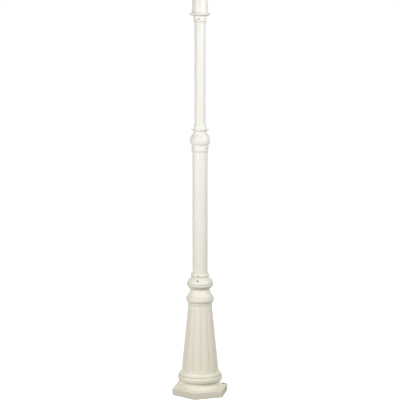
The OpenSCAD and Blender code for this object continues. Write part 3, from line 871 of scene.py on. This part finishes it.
def build_pedestal(materials):
    """The pedestal: a hexagonal foot that turns round, mouldings, and a fluted column."""
    mesh, corner_r = pedestal_skin()
    centre = (ANCHOR_R, 0)
    boss = closed_prism(boss_outline(corner_r), BOSS_TOP_Z)
    hole = closed_prism(circle(ANCHOR_HOLE_R, HOLE_STEPS, centre), SEAT_Z + 2 * ANCHOR_SPARE)
    seat = closed_prism(circle(SEAT_R, SEAT_STEPS, centre), SEAT_CUT_H)
    mesh = combine(mesh, "UNION", at_anchors(boss, 0.0))
    mesh = combine(mesh, "DIFFERENCE", at_anchors(hole, -ANCHOR_SPARE))
    mesh = combine(mesh, "DIFFERENCE", at_anchors(seat, SEAT_Z - SEAT_SINK))
    smooth(mesh)
    add_piece("pedestal_casting", "pedestal", mesh, materials)


def build_post():
    """Every piece of the post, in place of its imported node."""
    materials = {
        "cast_paint": ivory_paint("cast_paint", CAST_GRAIN, with_hole_shade=True),
        "shaft_paint": ivory_paint("shaft_paint", TUBE_GRAIN),
        "screw_steel": screw_steel(),
    }
    rows = {row: [f"{row}_{number}" for number in SCREW_NUMBERS] for row in (
        "ring_screw", "lock_screw", "coupling_screw", "fitting_screw",
    )}
    build_pedestal(materials)
    build_turned(materials, "neck_casting", "neck")
    build_turned(materials, "collar_casting", "collar", rows["ring_screw"] + rows["lock_screw"])
    build_turned(materials, "lower_tube", "lower_shaft")
    build_turned(materials, "coupling_casting", "coupling", rows["coupling_screw"])
    build_turned(materials, "upper_tube", "upper_shaft")
    build_turned(materials, "fitting_casting", "lantern_fitting", rows["fitting_screw"])
    for node_name in sum(rows.values(), []):
        name = node_name + "_steel"
        add_piece(name, node_name, screw_mesh(name, node_name), materials)


def set_camera():
    """The camera at the photograph's viewpoint."""
    data = bpy.data.cameras.new("camera")
    data.sensor_width = SENSOR_MM
    data.lens = FOCAL_PX * SENSOR_MM / PHOTO_PX
    data.shift_x = (PHOTO_PX / 2 - AXIS_PX) / PHOTO_PX
    camera = bpy.data.objects.new("camera", data)
    camera.location = (
        CAMERA_DISTANCE * math.sin(CAMERA_AZIMUTH),
        -CAMERA_DISTANCE * math.cos(CAMERA_AZIMUTH),
        CAMERA_HEIGHT,
    )
    camera.rotation_euler = (math.pi / 2 - CAMERA_TILT, 0, CAMERA_AZIMUTH)
    bpy.context.scene.collection.objects.link(camera)
    bpy.context.scene.camera = camera


def set_world():
    """A white surround for the camera and for reflections, soft pale light for the rest."""
    world = bpy.data.worlds.new("studio")
    bpy.context.scene.world = world
    world.use_nodes = True
    tree = world.node_tree
    tree.nodes.clear()
    light = tree.nodes.new("ShaderNodeBackground")
    light.inputs["Color"].default_value = (*AMBIENT_COLOUR, 1.0)
    light.inputs["Strength"].default_value = AMBIENT
    white = tree.nodes.new("ShaderNodeBackground")
    white.inputs["Color"].default_value = (1.0, 1.0, 1.0, 1.0)
    mix = tree.nodes.new("ShaderNodeMixShader")
    tree.links.new(seen_rays(tree), mix.inputs["Fac"])
    tree.links.new(light.outputs["Background"], mix.inputs[1])
    tree.links.new(white.outputs["Background"], mix.inputs[2])
    output = tree.nodes.new("ShaderNodeOutputWorld")
    tree.links.new(mix.outputs["Shader"], output.inputs["Surface"])


def set_lights():
    """Softboxes around the post, which the camera doesn't see."""
    for name, place, size, watts, colour, reflected in SOFTBOXES:
        data = bpy.data.lights.new(name, "AREA")
        data.shape = "RECTANGLE"
        data.size, data.size_y = size
        data.energy = watts
        data.color = colour
        light = bpy.data.objects.new(name, data)
        light.location = place
        light.visible_camera = False
        light.visible_glossy = reflected
        light.rotation_euler = (LIGHT_AIM - Vector(place)).to_track_quat("-Z", "Y").to_euler()
        bpy.context.scene.collection.objects.link(light)


def white_floor():
    """A plain pale floor that looks white and keeps a soft shadow around the foot."""
    material, tree, shader = new_material("floor")
    seen = seen_rays(tree)
    tree.links.new(mix_colour(tree, seen, FLOOR_BOUNCE, FLOOR_SEEN), shader.inputs["Base Color"])
    shader.inputs["Roughness"].default_value = FLOOR_ROUGHNESS
    shader.inputs["Specular IOR Level"].default_value = 0.0
    coords = tree.nodes.new("ShaderNodeTexCoord").outputs["Object"]
    reach = vector_math(tree, "DISTANCE", coords, (0.0, 0.0, 0.0))
    glow = remap(tree, reach, SHADE_NEAR, SHADE_FAR, FLOOR_GLOW, 1.0)
    shader.inputs["Emission Color"].default_value = (1.0, 1.0, 1.0, 1.0)
    tree.links.new(math_node(tree, "MULTIPLY", glow, seen), shader.inputs["Emission Strength"])
    mesh = bpy.data.meshes.new("floor")
    half = FLOOR_HALF
    mesh.from_pydata(
        [(-half, -half, 0), (half, -half, 0), (half, half, 0), (-half, half, 0)], [], [(0, 1, 2, 3)]
    )
    mesh.materials.append(material)
    floor = bpy.data.objects.new("floor", mesh)
    bpy.context.scene.collection.objects.link(floor)


build_post()
set_camera()
set_world()
set_lights()
white_floor()
bpy.context.scene.view_settings.view_transform = "Standard"
